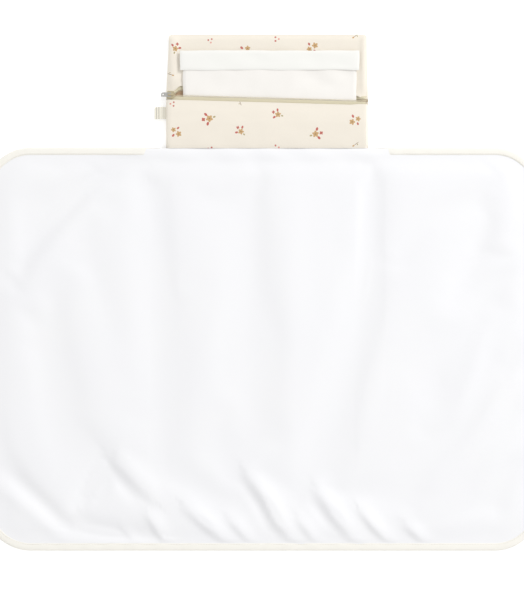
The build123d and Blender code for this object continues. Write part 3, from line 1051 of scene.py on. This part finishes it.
def make_pouch(floral):
    bottom, top = pouch_low[1], pouch_high[1]
    corner = 3.0
    setback = 6.0  # from the zip's middle line to a panel's edge

    def rounded(x, y):
        """How far inside the pouch's outline a point is."""
        in_x, in_y = POUCH_HALF - np.abs(x - POUCH_MID), top - y
        round_it = corner - np.hypot(np.maximum(corner - in_x, 0), np.maximum(corner - in_y, 0))
        return np.where((in_x < corner) & (in_y < corner), round_it, np.minimum(in_x, in_y))

    def drawn_in(x, y):
        """The same points with the top corners rounded off and the upper sides drawn in."""
        over = np.clip(y - (top - corner), 0, corner)
        pull = corner - np.sqrt(np.maximum(corner**2 - over**2, 0))
        lean = np.where(x < POUCH_MID, 3.4, 1.6) * smooth(y, zip_line(x) - 10, top)
        return x - (x - POUCH_MID) * (pull + lean) / POUCH_HALF

    # back panel
    x, y = pouch_grid(level(bottom), level(top))
    x = drawn_in(x, y)
    z = np.maximum(0.12 + 0.1 * slow_waves(x, y, 21, (45, 25), 1.0), 0.0)
    low = np.stack([x, y, z], 2)
    add_panel("pouch_back", low + np.array([0, 0, 0.8]), low, floral, ["pouch_back_panel"])

    # lining, seen inside the open mouth: its tan colour is darkened with painted shade for the
    # shadow inside the mouth
    lining_shaded = plain_cloth("lining_cotton", (0.60, 0.42, 0.27), (0.52, 0.35, 0.22), 1200)
    x, y = pouch_grid(level(bottom + 2), level(top - 4))
    x = drawn_in(x, y) * 0.985 + POUCH_MID * 0.015
    low = np.stack([x, y, 1.0 + 0.12 * slow_waves(x, y, 23, (30, 18), 1.0)], 2)
    high = low + np.array([0, 0, 0.35])
    add_panel("pouch_lining_cloth", high, low, lining_shaded, ["pouch_lining"], "lining_cloth")

    # front above the zip
    def upper_edge(x):
        """The panel's lower edge, closer to the zip at the mouth's two ends."""
        near_left = 1 - smooth(x - pouch_low[0], 4, 16)
        near_right = smooth(x - pouch_high[0], -15, -5)
        return zip_line(x) + setback + zip_opening(x) - 1.5 * near_left - 3.6 * near_right

    x, y = pouch_grid(upper_edge, level(top))
    x = drawn_in(x, y)
    edge = rounded(x, y)
    lift = 1.6 * smooth(edge, 0, 7)
    lift += 0.35 * slow_waves(x, y, 31, (60, 34), 1.0) * smooth(edge, 2, 14)
    fold = hump(y, upper_edge(x), 2.0) * 0.5
    # it stands a little fuller beside the liner
    cuff_low, cuff_high = node_box("liner_cuff")
    beside = smooth(cuff_low[0] - x, 0.5, 7) + smooth(x - cuff_high[0], 0.5, 5)
    lift += 1.5 * beside * smooth(edge, 0, 6) * smooth(y, zip_line(x) + 8, zip_line(x) + 22)
    high = np.stack([x, y, 1.45 + lift + fold], 2)
    low = np.stack([x, y, np.maximum(high[..., 2] - 0.9, 1.0)], 2)
    add_panel("pouch_upper_front", high, low, floral, ["pouch_front_upper"])

    # front below the zip, standing open over the liner
    def lower_edge(x):
        """The panel's upper edge, close to the zip at the mouth's closed end."""
        return zip_line(x) - setback + 1.2 * smooth(x - pouch_high[0], -24, -10)

    seam_z, side_z = 5.5, 1.2  # the panel's height along the seam, and down its sides
    x, y = pouch_grid(level(SEAM_Y), lower_edge)
    rise = np.clip((y - SEAM_Y) / 32, 0, 1) ** 0.6
    from_side = POUCH_HALF - np.abs(x - POUCH_MID)
    side = np.sqrt(1 - (1 - np.clip(from_side / 4.5, 0, 1)) ** 2)
    wave = 0.5 * slow_waves(x, y, 37, (70, 38), 1.0)
    gather = 0.18 * np.sin(x / 6.5 + 0.9 * np.sin(x / 23.0)) * hump(y - SEAM_Y, 7, 6)
    at_mouth = smooth(lower_edge(x) - y, 1, 16)
    full = seam_z + (MOUTH_TOP + 0.7 * at_mouth - seam_z) * rise + (wave + gather) * at_mouth
    high = np.stack([x, y, side_z + (full - side_z) * (0.12 + 0.88 * side)], 2)
    low = high - grid_normals(high) * 0.8
    low[..., 2] = np.maximum(low[..., 2], 1.05)
    nodes = ["pouch_front_lower", "pouch_side_left", "pouch_side_right"]
    add_panel("pouch_lower_front", high, low, floral, nodes)


# ---------------------------------------------------------------- the zip
def zip_place(x, offset, z):
    """A point beside the zip's middle line, measured square to it."""
    middle = np.array([POUCH_MID, ZIP_Y, 0.0])
    return middle + ALONG_ZIP * x + ACROSS_ZIP * offset + np.array([0, 0, z])


def lower_height(x):
    """The zip's lower side follows the mouth and dips into the side seams."""
    return CHAIN_Z - 1.5 * smooth(abs(x), ZIP_HALF - 4, ZIP_HALF)


def upper_height(x):
    """The zip's upper side lies low behind the liner and meets the lower one at its ends."""
    return 2.1 + (lower_height(x) - 2.1) * smooth(abs(x), ZIP_HALF - 13, ZIP_HALF - 3)


def make_zip():
    tape = ribbed_cloth("zip_tape_cloth", (0.74, 0.68, 0.50), (0.66, 0.60, 0.43), 900)
    coil = plastic_material("zip_coil", (0.82, 0.75, 0.58), (0.72, 0.65, 0.48), 0.42)
    xs = spaced(-ZIP_HALF + 0.9, ZIP_HALF - 0.9, 1.5)
    # each side: its way from the zip's middle line, its height and how far it stands open
    sides = (
        ("lower", -1, lower_height, lambda x: 0),
        ("upper", 1, upper_height, lambda x: zip_opening(POUCH_MID + x)),
    )
    for side, sign, height, apart in sides:
        across = np.linspace(sign * 1.4, sign * 11.5, 7)
        rows = []
        for offset in across:
            fall = smooth(abs(offset), 4, 10) * 0.55
            rows.append([zip_place(x, offset + apart(x), height(x) - fall) for x in xs])
        top = np.array(rows)
        if side == "upper":
            top[..., 2] = np.maximum(top[..., 2], 1.5)
            # under the panel's edge the tape lies flat again
            flat_share = smooth(np.abs(across), 3, 6.5)[:, None]
            top[..., 2] = top[..., 2] * (1 - flat_share) + 1.9 * flat_share
        else:
            top = top[::-1]
        low = top - np.array([0, 0, 0.45])
        uv = np.stack(np.meshgrid(xs, across, indexing="xy"), 2)
        piece = cut_slab(f"zip_{side}_tape", top, low, tape, uv)
        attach(piece, "pouch")
        settle(piece, "zip_tape", f"zip_tape_{side}")

    pitch = 1.5
    for side, sign, height, apart in sides:
        teeth = [
            tooth(x + 0.25 * pitch * sign, sign, height, apart)
            for x in np.arange(-ZIP_HALF + 1, ZIP_HALF - 0.5, pitch)
        ]
        points, faces = join_parts(teeth)
        piece = new_piece(f"zip_{side}_teeth", points, faces, coil, points[:, :2])
        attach(piece, "pouch")
        settle(piece, "zip_chain", f"zip_chain_{side}")


def tooth(x, sign, height, apart):
    """One turn of the coil: a flattened loop from the tape's edge to the zip's middle line."""
    turns, around = 9, 5
    loop = []
    for i in range(turns):
        a = math.pi * i / (turns - 1)
        offset = apart(x) + sign * (0.95 - 1.05 * math.sin(a))
        loop.append(zip_place(x + 0.22 * math.cos(a), offset, height(x) + 0.5 * math.cos(a)))
    points = []
    for i, centre in enumerate(loop):
        ahead = loop[min(i + 1, turns - 1)] - loop[max(i - 1, 0)]
        ahead /= np.linalg.norm(ahead)
        normal = np.cross(ahead, ALONG_ZIP)
        normal /= np.linalg.norm(normal)
        for a in 2 * math.pi * np.arange(around) / around:
            points.append(centre + 0.36 * (ALONG_ZIP * math.cos(a) + normal * math.sin(a)))
    return points, tube_faces(turns, around)


# ---------------------------------------------------------------- liner and tab
def crowned_slab(name, low, high, rim, crown, material, seed, step, wave, dents):
    """A closed soft slab: full in the middle, pulled in and rounded at its edges.

    Each dent is (across, up, width, depth), its place in shares of the slab's box.
    """

    x, y = np.meshgrid(spaced(low[0], high[0], step), spaced(low[1], high[1], step))
    inner = np.minimum.reduce([x - low[0], high[0] - x, y - low[1], high[1] - y])
    swell = np.sqrt(np.clip(1 - (1 - np.clip(inner / rim, 0, 1)) ** 2, 0, 1))
    rough = wave * slow_waves(x, y, seed, (48, 26), 1.0) * smooth(inner, 0, 12)
    for dent_x, dent_y, width, depth in dents:
        dent_x = low[0] + dent_x * (high[0] - low[0])
        dent_y = low[1] + dent_y * (high[1] - low[1])
        far = np.hypot((x - dent_x) / 1.7, y - dent_y)
        rough -= depth * np.exp(-((far / width) ** 2)) * smooth(inner, 0, 6)
    middle = (low[2] + high[2]) / 2
    half = (high[2] - low[2]) / 2
    # the edges wander a little, as a folded cloth's do
    centre = (np.array(low) + np.array(high)) / 2
    sway = slow_waves(x * 0 + y, y * 0, seed + 1, (60, 24), 1.0)
    bow = slow_waves(x, y * 0, seed + 2, (90, 38), 1.0)
    x = x + 2.2 * sway * (x - centre[0]) / (high[0] - low[0])
    y = y + 2.0 * bow * (y - centre[1]) / (high[1] - low[1])
    top = np.stack([x, y, middle + half * swell + crown * smooth(inner, 0, 30) + rough], 2)
    bottom = np.stack([x, y, middle - half * swell * 0.98 - 0.02], 2)
    return cut_slab(name, top, bottom, material)


def add_to_liner(piece, node):
    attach(piece, "liner")
    settle(piece, "liner_cloth", node)


def make_liner():
    white = fibre_material("liner_fibre", (0.875, 0.85, 0.815), (0.855, 0.83, 0.79), 40)
    turned = fibre_material("liner_fibre_turned", (0.865, 0.86, 0.825), (0.85, 0.845, 0.81), 40)
    low, high = node_box("liner_body")
    dents = (
        (0.75, 0.70, 9, 1.5), (0.83, 0.61, 7, 1.0), (0.22, 0.62, 12, 1.0), (0.43, 0.52, 16, 0.8),
        (0.94, 0.74, 7, 1.0),
    )
    body = crowned_slab("liner", low, high, 3.5, 0.5, white, 41, 2.5, 0.4, dents)
    add_to_liner(body, "liner_body")
    low, high = node_box("liner_cuff")
    low, high = low - np.array([0, 0.6, 0]), high + np.array([0, 1.0, 0.2])
    dents = ((0.42, 0.62, 8, 0.8), (0.74, 0.55, 10, 0.8), (0.89, 0.3, 8, 0.7), (0.2, 0.4, 9, 0.6))
    cuff = crowned_slab("liner_cuff_fold", low, high, 8.0, 0.2, turned, 43, 1.5, 0.35, dents)
    add_to_liner(cuff, "liner_cuff")


def make_tab():
    """A ribbon folded back on itself, its ends caught in the pouch's side seam."""
    light, dark = (0.88, 0.85, 0.75), (0.80, 0.76, 0.65)
    ribbon = ribbed_cloth("ribbed_ribbon", light, dark, 420, stripes=(10.0, 12.9))
    low, high = node_box("side_tab")
    ply, step = 0.7, 1.2
    radius, centre_z = (high[2] - low[2]) / 2, (high[2] + low[2]) / 2
    turn = radius - ply / 2
    line = [(high[0] + 1.0, centre_z + radius - ply / 2)]
    for a in np.linspace(math.pi / 2, 3 * math.pi / 2, 13):
        line.append((low[0] + radius + turn * math.cos(a), centre_z + turn * math.sin(a)))
    line.append((high[0] + 1.0, centre_z - radius + ply / 2))
    fine = []
    for (x0, z0), (x1, z1) in zip(line, line[1:]):
        count = max(1, round(math.hypot(x1 - x0, z1 - z0) / step))
        fine += [(x0 + (x1 - x0) * i / count, z0 + (z1 - z0) * i / count) for i in range(count)]
    fine = np.array([*fine, line[-1]])
    run = np.concatenate([[0], np.cumsum(np.hypot(*np.diff(fine, axis=0).T))])
    ys = spaced(low[1], high[1], step)
    middle = np.array([[(x, y, z) for x, z in fine] for y in ys])
    middle[..., 1] += 0.25 * np.sin(middle[..., 0] / 3.0)
    half = grid_normals(middle) * ply / 2
    uv = np.stack(np.meshgrid(run, ys), 2)
    piece = cut_slab("side_tab_ribbon", middle + half, middle - half, ribbon, uv)
    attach(piece, "pouch")
    settle(piece, "ribbon", "side_tab")


# ---------------------------------------------------------------- hard parts kept from the CAD
def paint_metal():
    brass = metal_material("slider_brass", (0.70, 0.62, 0.43), (0.44, 0.37, 0.24), 0.40)
    steel = metal_material("pull_steel", (0.60, 0.59, 0.57), (0.42, 0.41, 0.39), 0.34)
    for node, material in (
        ("zip_slider", brass),
        ("zip_bottom_stop", brass),
        ("zip_top_stops", brass),
        ("zip_pull", steel),
    ):
        mesh = frame["nodes"][node].data
        mesh.materials.clear()
        mesh.materials.append(material)


make_camera()
make_light_and_floor()
printed_cotton = floral_material()
make_pad(printed_cotton)
make_binding()
make_pouch(printed_cotton)
make_zip()
make_liner()
make_tab()
paint_metal()
